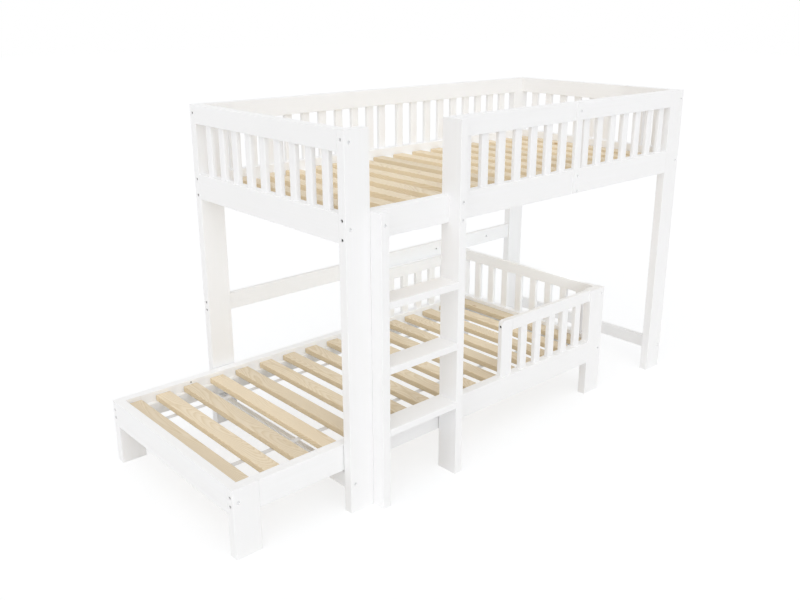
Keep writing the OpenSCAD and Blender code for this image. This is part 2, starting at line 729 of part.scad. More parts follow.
// The bolt through the stile into the guard rail starts at the stile's outer edge
module stile_bolt_place(back) {
    corner(bed_len, bed_dep, 1, back) translate([stile_x, board_t / 2, bed_guard_mid])
        rotate([0, -90, 0]) children();
}
module stile(back) {
    corner(bed_len, bed_dep, 1, back) translate([stile_x - stile_w, slim_in, bed_rail_top]) intersection() {
        board_z(stile_w, slim_t, bed_guard_up);
        translate([0, slim_t, 0]) rotate([90, 0, 0]) linear_extrude(slim_t) stile_face();
    }
}
module stile_face() {
    square([stile_w - stile_r, bed_guard_up]);
    square([stile_w, bed_guard_up - stile_r]);
    translate([stile_w - stile_r, bed_guard_up - stile_r]) circle(stile_r);
}
module bed_guard_uprights(back) {
    color(PAINT) in_bed() {
        difference() {
            stile(back);
            stile_bolt_place(back) bolt_bore(stile_w, 0);
            stile_dowel_places(back) dowel_bore(0);
        }
        bed_side_spindle_places(back) spindle(bed_spindle_len);
    }
}
module bed_guard_uprights_front() { bed_guard_uprights(0); }
module bed_guard_uprights_back() { bed_guard_uprights(1); }
module bed_guard_spindles_end() { color(PAINT) bed_end_spindle_places() spindle(bed_spindle_len); }

module bed_guard_rail(back) {
    color(PAINT) in_bed() difference() {
        corner(bed_len, bed_dep, 1, back) translate([leg_w, slim_in, bed_guard_z])
            board_x(stile_x - stile_w - leg_w, slim_t, slim_h);
        corner(bed_len, bed_dep, 1, back) line_x(bed_guard_bolt_x) {
            cylinder_from(bolt_d + 2 * shank_fit, leg_w - eps, leg_w + bite + eps);
            nut_bore(leg_w, false, slim_t / 2, back);
        }
        stile_bolt_place(back) {
            cylinder_from(bolt_d + 2 * shank_fit, stile_w - eps, stile_w + bite + eps);
            nut_bore(stile_w, false, slim_t / 2, back);
        }
        bed_side_spindle_places(back) mortises(bed_spindle_len);
    }
}
module bed_guard_rail_front() { bed_guard_rail(0); }
module bed_guard_rail_back() { bed_guard_rail(1); }
module bed_guard_rail_end() {
    color(PAINT) difference() {
        bed_corner(1, 0) translate([slim_in, board_t, bed_guard_z])
            board_y(bed_dep - 2 * board_t, slim_t, slim_h);
        for (back = [0, 1]) bed_corner(1, back) line_y(bed_guard_bolt_y) {
            cylinder_from(bolt_d + 2 * shank_fit, board_t - eps, board_t + bite + eps);
            nut_bore(board_t, true, slim_t / 2, 1);
        }
        bed_end_spindle_places() mortises(bed_spindle_len);
    }
}
module bed_ledgers() { in_bed() ledgers(bed_len, bed_dep, bed_slat_top); }
module bed_slats() { in_bed() slats(bed_len, bed_dep, bed_slat_top); }
module bed_slat_tapes() { in_bed() slat_tapes(bed_len, bed_dep, bed_slat_top); }

module bed_bolts() {
    for (right = [0, 1], back = [0, 1]) bed_corner(right, back) {
        for (z = bed_rail_bolts) line_x(z) bolt(leg_w, bite);
        line_y(bed_rail_mid) bolt(board_t, bite);
        if (right) line_x(bed_guard_bolt_x) bolt(leg_w, bite);
        if (right) line_y(bed_guard_bolt_y) bolt(board_t, bite);
    }
    in_bed() for (back = [0, 1]) stile_bolt_place(back) bolt(stile_w, bite);
}
module bed_barrel_nuts() {
    for (right = [0, 1], back = [0, 1]) bed_corner(right, back) {
        for (z = bed_rail_bolts) line_x(z) barrel_nut(leg_w, false);
        line_y(bed_rail_mid) barrel_nut(board_t, true);
        if (right) line_x(bed_guard_bolt_x) barrel_nut(leg_w, false);
        if (right) line_y(bed_guard_bolt_y) barrel_nut(board_t, true);
    }
    in_bed() for (back = [0, 1]) stile_bolt_place(back) barrel_nut(stile_w, false);
}
module bed_dowels() {
    for (right = [0, 1], back = [0, 1]) bed_corner(right, back) bed_end_dowel_places() dowel(board_t);
    in_bed() for (back = [0, 1]) stile_dowel_places(back) dowel(0);
}
module bed_ledger_screws() { in_bed() for (back = [0, 1]) bed_screw_places(back) screw(); }

post_front_left();
post_front_right();
post_back_left();
post_back_right();
end_guard_rail_left();
end_bed_rail_left();
end_stretcher_left();
end_spindles_left();
end_guard_rail_right();
end_bed_rail_right();
end_stretcher_right();
end_spindles_right();
front_bed_rail_left();
front_bed_rail_right();
front_guard_rail_left();
front_guard_rail_right();
front_spindles();
back_bed_rail_left();
back_bed_rail_right();
back_guard_rail_left();
back_guard_rail_right();
back_spindles();
back_mid_rail_left();
back_mid_rail_right();
ladder_board_left();
ladder_board_right();
tread_low();
tread_middle();
tread_high();
loft_ledgers();
loft_slats();
loft_slat_tapes();
loft_bolts();
loft_barrel_nuts();
loft_dowels();
lap_bolts();
ladder_bolts();
sleeve_nuts();
loft_ledger_screws();
leg_front_left();
leg_front_right();
leg_back_left();
leg_back_right();
bed_end_board_left();
bed_end_board_right();
bed_side_rail_front();
bed_side_rail_back();
bed_guard_rail_front();
bed_guard_rail_back();
bed_guard_rail_end();
bed_guard_uprights_front();
bed_guard_uprights_back();
bed_guard_spindles_end();
bed_ledgers();
bed_slats();
bed_slat_tapes();
bed_bolts();
bed_barrel_nuts();
bed_dowels();
bed_ledger_screws();
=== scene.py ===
"""Looks of a painted pine loft bed and the low bed under it: paint, bare pine, woven tape and steel."""

import math

import bpy
from mathutils import Matrix, Vector


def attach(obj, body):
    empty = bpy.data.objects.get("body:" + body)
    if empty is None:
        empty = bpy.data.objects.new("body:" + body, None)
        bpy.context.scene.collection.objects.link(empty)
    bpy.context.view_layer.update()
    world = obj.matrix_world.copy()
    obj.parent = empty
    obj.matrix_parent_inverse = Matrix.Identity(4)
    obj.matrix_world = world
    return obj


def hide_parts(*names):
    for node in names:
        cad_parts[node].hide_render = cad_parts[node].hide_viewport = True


bl_info = {
    "name": "Loft bed looks",
    "version": (1, 0, 0),
    "blender": (4, 5, 0),
    "location": "3D View > Sidebar > Loft bed",
    "description": "Paint, bare pine, tapes and fasteners of a loft bed with a low bed under it",
    "category": "Object",
}

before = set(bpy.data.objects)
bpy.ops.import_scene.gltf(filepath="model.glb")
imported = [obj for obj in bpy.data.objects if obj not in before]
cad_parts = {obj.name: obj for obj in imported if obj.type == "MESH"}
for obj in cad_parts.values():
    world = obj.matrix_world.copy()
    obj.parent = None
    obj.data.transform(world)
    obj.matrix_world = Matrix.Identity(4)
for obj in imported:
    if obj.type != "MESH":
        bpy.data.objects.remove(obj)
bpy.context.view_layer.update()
MM = 0.001


# ---------------------------------------------------------------- small tools

def linear(code):
    """An sRGB hex colour as the linear colour that a shader takes."""
    parts = [int(code[i:i + 2], 16) / 255 for i in (1, 3, 5)]
    return tuple(p / 12.92 if p <= 0.04045 else ((p + 0.055) / 1.055) ** 2.4 for p in parts)


def rgba(colour):
    """A colour setting as the four numbers that a shader takes."""
    return tuple(colour) + (1,)


def add(tree, kind, inputs=None, **settings):
    """Adds one node, with its settings, and its inputs as values or as links from other nodes."""
    node = tree.nodes.new(kind)
    for name, value in settings.items():
        setattr(node, name, value)
    for key, value in (inputs or {}).items():
        if isinstance(value, bpy.types.Node):
            value = value.outputs[0]
        if isinstance(value, bpy.types.NodeSocket):
            tree.links.new(value, node.inputs[key])
        else:
            node.inputs[key].default_value = value
    return node


def solids_of(node):
    """The corners of each separate solid of a CAD node, as lists of points."""
    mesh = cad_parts[node].data
    key = [tuple(round(c * 1e5) for c in v.co) for v in mesh.vertices]
    owner = {k: k for k in key}

    def root(k):
        while owner[k] != k:
            owner[k] = owner[owner[k]]
            k = owner[k]
        return k

    for face in mesh.polygons:
        first = root(key[face.vertices[0]])
        for v in face.vertices[1:]:
            owner[root(key[v])] = first
    groups = {}
    for k, v in zip(key, mesh.vertices):
        groups.setdefault(root(k), []).append(v.co.copy())
    return sorted(groups.values(), key=lambda g: tuple(map(min, zip(*g))))


def box_of(points):
    """Lowest and highest corner of a list of points."""
    return Vector(map(min, zip(*points))), Vector(map(max, zip(*points)))


def new_piece(name, mesh, body, nodes, material=None):
    """Puts a finished mesh in the scene, on its body, in place of its CAD nodes."""
    piece = bpy.data.objects.new(name, mesh)
    bpy.context.scene.collection.objects.link(piece)
    if material:
        mesh.materials.clear()
        mesh.materials.append(material)
    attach(piece, body)
    if nodes:
        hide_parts(*nodes)
    return piece


def point_mesh(name, points, **facts):
    """A mesh of loose points, with named values on each, for a row of copies."""
    mesh = bpy.data.meshes.new(name)
    mesh.from_pydata([tuple(p) for p in points], [], [])
    for fact, values in facts.items():
        vector = isinstance(values[0], (tuple, Vector))
        layer = mesh.attributes.new(fact, "FLOAT_VECTOR" if vector else "FLOAT", "POINT")
        for item, value in zip(layer.data, values):
            if vector:
                item.vector = value
            else:
                item.value = value
    return mesh


def new_tree(name, sockets):
    """An empty geometry tree with named inputs; gives the tree and its input node."""
    tree = bpy.data.node_groups.new(name, "GeometryNodeTree")
    tree.interface.new_socket("Geometry", in_out="OUTPUT", socket_type="NodeSocketGeometry")
    for label, kind, default in [("Geometry", "Geometry", None)] + sockets:
        item = tree.interface.new_socket(label, in_out="INPUT", socket_type="NodeSocket" + kind)
        if default is not None:
            item.default_value = default
    return tree, tree.nodes.new("NodeGroupInput")


def close_tree(tree, given, geometry):
    """Ends a tree: real copies, then their material."""
    real = add(tree, "GeometryNodeRealizeInstances", {"Geometry": geometry})
    done = add(tree, "GeometryNodeSetMaterial", {"Geometry": real, "Material": given.outputs["Material"]})
    add(tree, "NodeGroupOutput", {"Geometry": done})


def grow(name, plan, tree, values):
    """Runs a geometry tree on a plan of points and gives the result as a plain mesh."""
    holder = bpy.data.objects.new(name + "_plan", plan)
    bpy.context.scene.collection.objects.link(holder)
    rows = holder.modifiers.new("rows", "NODES")
    rows.node_group = tree
    for item in tree.interface.items_tree:
        if item.in_out == "INPUT" and item.name in values:
            rows[item.identifier] = values[item.name]
    bpy.context.view_layer.update()
    depsgraph = bpy.context.evaluated_depsgraph_get()
    mesh = bpy.data.meshes.new_from_object(
        holder.evaluated_get(depsgraph), preserve_all_data_layers=True, depsgraph=depsgraph)
    holder.modifiers.remove(rows)
    bpy.data.objects.remove(holder)
    if not mesh.polygons:
        raise RuntimeError(f"{name} came out empty")
    mesh.name = name
    return mesh


# ---------------------------------------------------------------- materials

def new_material(name):
    """A new material with a Principled shader; gives material, tree, shader and coordinates."""
    material = bpy.data.materials.new(name)
    material.use_nodes = True
    tree = material.node_tree
    tree.nodes.clear()
    shader = tree.nodes.new("ShaderNodeBsdfPrincipled")
    add(tree, "ShaderNodeOutputMaterial", {"Surface": shader})
    place = tree.nodes.new("ShaderNodeTexCoord").outputs["Object"]
    return material, tree, shader, place


def stretched(tree, place, along, across_mm, along_mm):
    """Coordinates on which one unit is across_mm, and along_mm in the board's direction."""
    scale = [1 / (across_mm * MM)] * 3
    scale["XYZ".index(along)] = 1 / (along_mm * MM)
    return add(tree, "ShaderNodeMapping", {"Vector": place, "Scale": scale})


def noise(tree, place, along, across_mm, along_mm, **inputs):
    """Noise with grains about across_mm wide, and along_mm long in the board's direction."""
    vector = stretched(tree, place, along, across_mm, along_mm)
    return add(tree, "ShaderNodeTexNoise", {"Vector": vector, "Scale": 1.0, **inputs})


def spread(tree, value, given, wanted, **settings):
    """A value within one pair of limits, laid out between another pair."""
    return add(tree, "ShaderNodeMapRange", {
        "Value": value, "From Min": given[0], "From Max": given[1],
        "To Min": wanted[0], "To Max": wanted[1]}, **settings)


def calc(tree, operation, *values):
    """One sum with numbers or with the outputs of nodes."""
    return add(tree, "ShaderNodeMath", dict(enumerate(values)), operation=operation)


def mixed_colour(tree, factor, low, high):
    """Two colours mixed by a factor; gives the colour's socket."""
    return add(tree, "ShaderNodeMix", {"Factor": factor, 6: low, 7: high}, data_type="RGBA").outputs[2]


def painted_pine(along):
    """Sanded pine under white satin paint: the grain shows as faint ridges along the board,
    the roller leaves a fine stipple, and the sheen wanders a little with the ridges."""
    look = bpy.context.scene.loft_bed_look
    material, tree, shader, place = new_material("white_satin_paint_on_pine_" + along.lower())
    # Ridges about 7 mm apart and 300 mm long, drawn coarse so that they show
    ridges = noise(tree, place, along, 7, 300, Detail=3.0, Roughness=0.55)
    # Slow drift of the paint's thickness, 120 mm across
    drift = noise(tree, place, along, 120, 420, Detail=2.0)
    # Stipple of the roller, 1.6 mm
    stipple = noise(tree, place, along, 1.6, 1.6, Detail=1.0)
    tone = calc(tree, "MULTIPLY", ridges, drift)
    tone = spread(tree, tone, (0.12, 0.42), (0.0, 1.0))
    thin = mixed_colour(tree, tone, rgba(look.paint_thin), rgba(look.paint))
    tree.links.new(thin, shader.inputs["Base Color"])
    gloss = spread(tree, ridges, (0.3, 0.7), (0.34, 0.46))
    tree.links.new(gloss.outputs[0], shader.inputs["Roughness"])
    grain = add(tree, "ShaderNodeBump", {"Height": ridges, "Strength": 0.35, "Distance": 0.5 * MM})
    skin = add(tree, "ShaderNodeBump", {
        "Height": stipple, "Strength": 0.2, "Distance": 0.12 * MM, "Normal": grain})
    tree.links.new(skin.outputs[0], shader.inputs["Normal"])
    shader.inputs["IOR"].default_value = 1.48
    return material


def planed_pine():
    """Bare planed pine: growth rings cut lengthwise, late wood in darker lines, small knots,
    and a tone of its own for each slat."""
    look = bpy.context.scene.loft_bed_look
    material, tree, shader, place = new_material("planed_pine")
    shift = add(tree, "ShaderNodeAttribute", attribute_name="shift")
    own = add(tree, "ShaderNodeCombineXYZ", {"X": shift.outputs["Fac"], "Y": shift.outputs["Fac"],
                                             "Z": shift.outputs["Fac"]})
    moved = add(tree, "ShaderNodeVectorMath", {0: place, 1: own}, operation="ADD")
    # The heart of the log lies under the slat and wanders slowly along it, which draws the long arches
    middle = add(tree, "ShaderNodeAttribute", attribute_name="middle")
    local = add(tree, "ShaderNodeVectorMath", {0: place, 1: middle.outputs["Vector"]}, operation="SUBTRACT")
    split = add(tree, "ShaderNodeSeparateXYZ", {"Vector": local})
    wander = noise(tree, moved, "Y", 700, 700, Detail=1.0)
    drift = add(tree, "ShaderNodeSeparateColor", {"Color": wander.outputs["Color"]})
    # Heart up to 60 mm to either side, and 20 to 90 mm below
    beside = spread(tree, drift.outputs["Red"], (0.3, 0.7), (-60 * MM, 60 * MM))
    below = spread(tree, drift.outputs["Green"], (0.3, 0.7), (20 * MM, 90 * MM))
    beside = calc(tree, "ADD", split.outputs["X"], beside)
    below = calc(tree, "ADD", split.outputs["Z"], below)
    heart = add(tree, "ShaderNodeCombineXYZ", {"X": beside, "Y": below})
    radius = add(tree, "ShaderNodeVectorMath", {0: heart}, operation="LENGTH")
    fine = noise(tree, moved, "Y", 12, 260, Detail=2.0)
    # Rings 4 mm apart, as in quick grown pine
    bend = calc(tree, "MULTIPLY", radius.outputs["Value"], 1 / (4 * MM))
    bend = calc(tree, "MULTIPLY_ADD", fine, 1.1, bend)
    ring = calc(tree, "FRACT", bend)
    late = add(tree, "ShaderNodeValToRGB", {"Fac": ring})
    stops = late.color_ramp
    stops.elements[0].position = 0.0
    stops.elements[0].color = rgba(look.pine_light)
    stops.elements[1].position = 1.0
    stops.elements[1].color = rgba(look.pine_light)
    for position, colour in ((0.45, look.pine_mid), (0.82, look.pine_late), (0.93, look.pine_mid)):
        stops.elements.new(position).color = rgba(colour)
    # Knots: about 14 mm across and 30 mm long with soft rims, where the middle of a cell lies in the slat
    knot = add(tree, "ShaderNodeTexVoronoi", {
        "Vector": stretched(tree, moved, "Y", 120, 260), "Scale": 1.0, "Randomness": 1.0})
    knot = spread(tree, knot, (0.03, 0.085), (0.75, 0.0), interpolation_type="SMOOTHSTEP")
    wood = mixed_colour(tree, knot, late, rgba(look.pine_knot))
    # Fibres: short dark strokes 1.5 mm wide
    fibre = noise(tree, moved, "Y", 1.5, 60, Detail=2.0)
    tone = add(tree, "ShaderNodeAttribute", attribute_name="tone")
    light = calc(tree, "MULTIPLY_ADD", fibre, 0.12, 0.86)
    light = calc(tree, "MULTIPLY_ADD", tone.outputs["Fac"], 0.16, light)
    # The long sides get painted shade: they are drawn a shade darker and warmer than the planed faces
    faces = add(tree, "ShaderNodeNewGeometry")
    facing = add(tree, "ShaderNodeSeparateXYZ", {"Vector": faces.outputs["True Normal"]})
    side = calc(tree, "ABSOLUTE", facing.outputs["X"])
    side_shade = spread(tree, side, (0.3, 0.9), (1.0, 0.96))
    side_shade_warmth = spread(tree, side, (0.3, 0.9), (1.05, 1.25))
    light = calc(tree, "MULTIPLY", light, side_shade)
    # Painted shade on the long sides: lower value and higher saturation where the face looks along X
    shade = add(tree, "ShaderNodeHueSaturation", {
        "Color": wood, "Saturation": side_shade_warmth, "Value": light})
    tree.links.new(shade.outputs[0], shader.inputs["Base Color"])
    rough = spread(tree, fibre, (0.3, 0.7), (0.55, 0.68))
    tree.links.new(rough.outputs[0], shader.inputs["Roughness"])
    relief = add(tree, "ShaderNodeBump", {"Height": ring, "Strength": 0.08, "Distance": 0.3 * MM})
    relief = add(tree, "ShaderNodeBump", {
        "Height": fibre, "Strength": 0.3, "Distance": 0.15 * MM, "Normal": relief})
    tree.links.new(relief.outputs[0], shader.inputs["Normal"])
    shader.inputs["IOR"].default_value = 1.5
    return material


def woven_tape():
    """Polyester webbing: ribs across the tape, softly matt, with painted shade in the grooves between the
    threads.
    """
    look = bpy.context.scene.loft_bed_look
    material, tree, shader, place = new_material("woven_polyester_tape")
    # Ribs 2.4 mm apart and threads 1.2 mm apart, drawn coarse so that they show
    ribs, threads = [add(tree, "ShaderNodeTexWave", {
        "Vector": place, "Scale": math.tau / (pitch * MM) / 20, "Distortion": 0.0},
        wave_type="BANDS", bands_direction=way, wave_profile="SIN")
        for pitch, way in ((2.4, "X"), (1.2, "Y"))]
    weave = calc(tree, "MULTIPLY", ribs.outputs["Fac"], threads.outputs["Fac"])
    # Painted shade in the weave: where the threads lie lower, the tape's white is mixed towards a darker
    # grey
    cloth = mixed_colour(tree, weave, rgba(look.tape_groove_shade), rgba(look.tape))
    tree.links.new(cloth, shader.inputs["Base Color"])
    bump = add(tree, "ShaderNodeBump", {"Height": weave, "Strength": 0.6, "Distance": 0.3 * MM})
    tree.links.new(bump.outputs[0], shader.inputs["Normal"])
    shader.inputs["Roughness"].default_value = 0.85
    shader.inputs["Sheen Weight"].default_value = 0.25
    return material


def plated_steel(name, colour, roughness):
    """Plated steel: a dull metal whose turned marks scatter the light unevenly."""
    material, tree, shader, place = new_material(name)
    # Turning marks 0.8 mm apart
    marks = noise(tree, place, "X", 0.8, 0.8, Detail=2.0)
    rough = spread(tree, marks, (0.3, 0.7), (roughness - 0.08, roughness + 0.1))
    tree.links.new(rough.outputs[0], shader.inputs["Roughness"])
    bump = add(tree, "ShaderNodeBump", {"Height": marks, "Strength": 0.2, "Distance": 0.05 * MM})
    tree.links.new(bump.outputs[0], shader.inputs["Normal"])
    shader.inputs["Base Color"].default_value = rgba(colour)
    shader.inputs["Metallic"].default_value = 1.0
    return material


def lacquered_steel():
    """White lacquered screws: a smooth baked coat, slightly uneven where it ran."""
    look = bpy.context.scene.loft_bed_look
    material, tree, shader, place = new_material("white_lacquered_steel")
    # Runs 3 mm wide
    runs = noise(tree, place, "Z", 3, 3, Detail=1.0)
    rough = spread(tree, runs, (0.3, 0.7), (0.22, 0.34))
    tree.links.new(rough.outputs[0], shader.inputs["Roughness"])
    shader.inputs["Base Color"].default_value = rgba(look.paint)
    return material


def turned_beech():
    """Turned beech dowels: pale wood with small darker flecks."""
    look = bpy.context.scene.loft_bed_look
    material, tree, shader, place = new_material("turned_beech")
    # Flecks 1 mm wide
    flecks = noise(tree, place, "X", 1, 1, Detail=3.0)
    wood = mixed_colour(tree, flecks, rgba(look.pine_late), rgba(look.pine_mid))
    tree.links.new(wood, shader.inputs["Base Color"])
    shader.inputs["Roughness"].default_value = 0.6
    return material


# ---------------------------------------------------------------- settings

def colour_property(name, description, code):
    """A colour that a user would change, given as an sRGB hex value."""
    return bpy.props.FloatVectorProperty(
        name=name, description=description, subtype="COLOR", size=3, min=0, max=1, default=linear(code))


def length_property(name, description, millimetres):
    """A length that a user would change, given in millimetres."""
    return bpy.props.FloatProperty(
        name=name, description=description, subtype="DISTANCE", unit="LENGTH", min=0,
        default=millimetres * MM)


class LoftBedLook(bpy.types.PropertyGroup):
    """Colours and small sizes of the bed"""

    paint: colour_property("Paint", "White satin paint at full thickness", "#fafafb")
    paint_thin: colour_property("Thin paint", "Paint where the wood shows through a little", "#f8f8f8")
    pine_light: colour_property("Early wood", "Lightest colour of the bare pine", "#eadcc5")
    pine_mid: colour_property("Wood", "Middle colour of the bare pine", "#e5d6bd")
    pine_late: colour_property("Late wood", "Colour of the dark lines of the bare pine", "#dccbad")
    pine_knot: colour_property("Knots", "Colour of the knots of the bare pine", "#b48c60")
    tape: colour_property("Tape", "Upper threads of the slats' tape", "#f2f2f2")
    # Colour of the painted shade in the tape's grooves, where its lower threads lie
    tape_groove_shade: colour_property("Tape grooves", "Lower threads of the slats' tape", "#dcdcdd")
    bolt: colour_property("Bolts", "Black plated steel of the bolt heads", "#4b4846")
    bright: colour_property("Bright bolts", "Bright plated steel of the heads across the bed", "#f0f1f2")
    zinc: colour_property("Zinc", "Zinc plated steel of nuts, screws and staples", "#a9aaab")
    spindle_tenon: length_property("Tenon", "Length of a spindle's tenon, hidden in its rail", 12)
    spindle_edge: length_property("Spindle edge", "Rounding of a spindle's long edges", 4)
    slat_edge: length_property("Slat edge", "Rounding of a slat's long edges", 3.5)
    head_width: length_property("Head", "Width across a bolt's head", 12)
    head_height: length_property("Head height", "Height of a bolt's head", 5)
    key_width: length_property("Key", "Width across the flats of a bolt's hexagon socket", 5)
    shank_width: length_property("Shank", "Width of a bolt's shank", 6)
    staple_width: length_property("Staple", "Width of a staple's crown", 11)
    staple_wire: length_property("Staple wire", "Thickness of a staple's wire", 1.1)


class LoftBedStage(bpy.types.PropertyGroup):
    """Floor, light and camera round the bed"""

    floor: colour_property("Floor", "Plain pale floor", "#fbfbfb")
    floor_size: bpy.props.FloatProperty(
        name="Floor size", description="Side of the square floor", subtype="DISTANCE", unit="LENGTH",
        min=4, default=60)
    shadow: bpy.props.FloatProperty(
        name="Shadow", description="How much of the floor's tone comes from its shadow, for the camera",
        subtype="FACTOR", min=0, max=1, default=0.35)
    sky: bpy.props.FloatProperty(
        name="Sky", description="Strength of the even light from all sides", min=0, default=0.64)
    key: bpy.props.FloatProperty(
        name="Key lamp", description="Strength of the soft lamp from the front left", min=0, default=0.94)
    front: bpy.props.FloatProperty(
        name="Front lamp", description="Strength of the soft lamp from the front", min=0, default=0.19)
    side: bpy.props.FloatProperty(
        name="Side lamp", description="Strength of the soft lamp from the left end", min=0, default=0.11)
    fill_low: bpy.props.FloatProperty(
        name="Low fill", description="Power of the soft lamp between the two beds", unit="POWER",
        min=0, default=2.2)
    fill_high: bpy.props.FloatProperty(
        name="High fill", description="Power of the soft lamp over the upper bed", unit="POWER",
        min=0, default=0.55)
    lamp_width: bpy.props.FloatProperty(
        name="Lamp width", description="How wide the key, front and side lamps look from the bed",
        subtype="ANGLE", unit="ROTATION", min=0, max=math.pi, default=math.radians(75))
    lens: bpy.props.FloatProperty(
        name="Lens", description="Focal length of the camera, for a sensor 36 mm wide", unit="CAMERA",
        min=1, default=38.46)


# ---------------------------------------------------------------- pieces

BOARDS = {
    "X": ("front_bed_rail_left", "front_bed_rail_right", "front_guard_rail_left", "front_guard_rail_right",
          "back_bed_rail_left", "back_bed_rail_right", "back_guard_rail_left", "back_guard_rail_right",
          "back_mid_rail_left", "back_mid_rail_right", "tread_low", "tread_middle", "tread_high",
          "loft_ledgers", "bed_ledgers", "bed_side_rail_front", "bed_side_rail_back",
          "bed_guard_rail_front", "bed_guard_rail_back"),
    "Y": ("end_guard_rail_left", "end_bed_rail_left", "end_stretcher_left",
          "end_guard_rail_right", "end_bed_rail_right", "end_stretcher_right",
          "bed_end_board_left", "bed_end_board_right", "bed_guard_rail_end"),
    "Z": ("post_front_left", "post_front_right", "post_back_left", "post_back_right",
          "ladder_board_left", "ladder_board_right", "leg_front_left", "leg_front_right",
          "leg_back_left", "leg_back_right", "bed_guard_uprights_front", "bed_guard_uprights_back"),
}


def dress(nodes, material):
    """Gives CAD nodes a material."""
    for name in nodes:
        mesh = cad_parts[name].data
        mesh.materials.clear()
        mesh.materials.append(material)


def paint_for(along):
    """The paint for boards that run along X, Y or Z, made once."""
    return bpy.data.materials.get("white_satin_paint_on_pine_" + along.lower()) or painted_pine(along)


class LOFTBED_OT_boards(bpy.types.Operator):
    """Paint posts, rails, legs, ladder and ledgers, each with its grain along the board"""

    bl_idname = "loftbed.boards"
    bl_label = "Paint the boards"

    def execute(self, context):
        for along, nodes in BOARDS.items():
            dress(nodes, paint_for(along))
        return {"FINISHED"}


def bar_tree(name, turn):
    """Bars with rounded long edges, one on each point, each with a tone and a shift of its own.
    A bar is drawn upright and then turned by the angles in turn."""
    tree, given = new_tree(name, [
        ("Width", "Float", 0.06), ("Thickness", "Float", 0.02), ("Length", "Float", 1.0),
        ("Edge", "Float", 0.003), ("Seed", "Int", 7), ("Material", "Material", None)])
    outline = add(tree, "GeometryNodeCurvePrimitiveQuadrilateral", {
        "Width": given.outputs["Width"], "Height": given.outputs["Thickness"]}, mode="RECTANGLE")
    outline = add(tree, "GeometryNodeFilletCurve", {
        "Curve": outline, "Count": 4, "Radius": given.outputs["Edge"]}, mode="POLY")
    half = calc(tree, "MULTIPLY", given.outputs["Length"], 0.5)
    low = calc(tree, "MULTIPLY", half, -1.0)
    ends = [add(tree, "ShaderNodeCombineXYZ", {"Z": z}) for z in (low, half)]
    path = add(tree, "GeometryNodeCurvePrimitiveLine", {"Start": ends[0], "End": ends[1]})
    bar = add(tree, "GeometryNodeCurveToMesh", {"Curve": path, "Profile Curve": outline, "Fill Caps": True})
    bar = add(tree, "GeometryNodeTransform", {"Geometry": bar, "Rotation": turn})
    rows = add(tree, "GeometryNodeInstanceOnPoints", {"Points": given.outputs["Geometry"], "Instance": bar})
    place = tree.nodes.new("GeometryNodeInputPosition")
    rows = add(tree, "GeometryNodeStoreNamedAttribute", {
        "Geometry": rows, "Name": "middle", "Value": place}, data_type="FLOAT_VECTOR", domain="INSTANCE")
    for fact, low_end, high_end, step in (("tone", 0.0, 1.0, 0), ("shift", -4.0, 4.0, 1)):
        seed = calc(tree, "ADD", given.outputs["Seed"], float(step))
        chance = add(tree, "FunctionNodeRandomValue", {
            2: low_end, 3: high_end, "Seed": seed}, data_type="FLOAT")
        rows = add(tree, "GeometryNodeStoreNamedAttribute", {
            "Geometry": rows, "Name": fact, "Value": chance.outputs[1]},
            data_type="FLOAT", domain="INSTANCE")
    close_tree(tree, given, rows)
    return tree


class LOFTBED_OT_slats(bpy.types.Operator):
    """Lay the bare pine slats of both beds"""

    bl_idname = "loftbed.slats"
    bl_label = "Lay the slats"

    def execute(self, context):
        look = context.scene.loft_bed_look
        pine = planed_pine()
        tree = bar_tree("slat_rows", (math.pi / 2, 0.0, 0.0))
        for node, body, seed in (("loft_slats", "loft", 11), ("bed_slats", "low_bed", 23)):
            boxes = [box_of(s) for s in solids_of(node)]
            size = boxes[0][1] - boxes[0][0]
            plan = point_mesh(node + "_plan", [(a + b) / 2 for a, b in boxes])
            mesh = grow("pine_" + node, plan, tree, {
                "Width": size.x, "Thickness": size.z, "Length": size.y, "Edge": look.slat_edge,
                "Seed": seed, "Material": pine})
            new_piece("pine_" + node, mesh, body, [node])
        return {"FINISHED"}


class LOFTBED_OT_spindles(bpy.types.Operator):
    """Set the painted spindles of the guards between their rails"""

    bl_idname = "loftbed.spindles"
    bl_label = "Set the spindles"

    def execute(self, context):
        look = context.scene.loft_bed_look
        paint = paint_for("Z")
        trees = {"X": bar_tree("spindle_rows_lengthwise", (0.0, 0.0, 0.0)),
                 "Y": bar_tree("spindle_rows_crosswise", (0.0, 0.0, math.pi / 2))}
        for node, body, row in (
                ("front_spindles", "loft", "X"), ("back_spindles", "loft", "X"),
                ("end_spindles_left", "loft", "Y"), ("end_spindles_right", "loft", "Y"),
                ("bed_guard_spindles_end", "low_bed", "Y")):
            boxes = [box_of(s) for s in solids_of(node)]
            size = boxes[0][1] - boxes[0][0]
            plan = point_mesh(node + "_plan", [(a + b) / 2 for a, b in boxes])
            mesh = grow("painted_" + node, plan, trees[row], {
                "Width": max(size.x, size.y), "Thickness": min(size.x, size.y),
                "Length": size.z - 2 * look.spindle_tenon, "Edge": look.spindle_edge,
                "Seed": 3, "Material": paint})
            new_piece("painted_" + node, mesh, body, [node])
        return {"FINISHED"}


# Where the two staples of a slat sit across its width
STAPLES_AT = (0.3, 0.7)


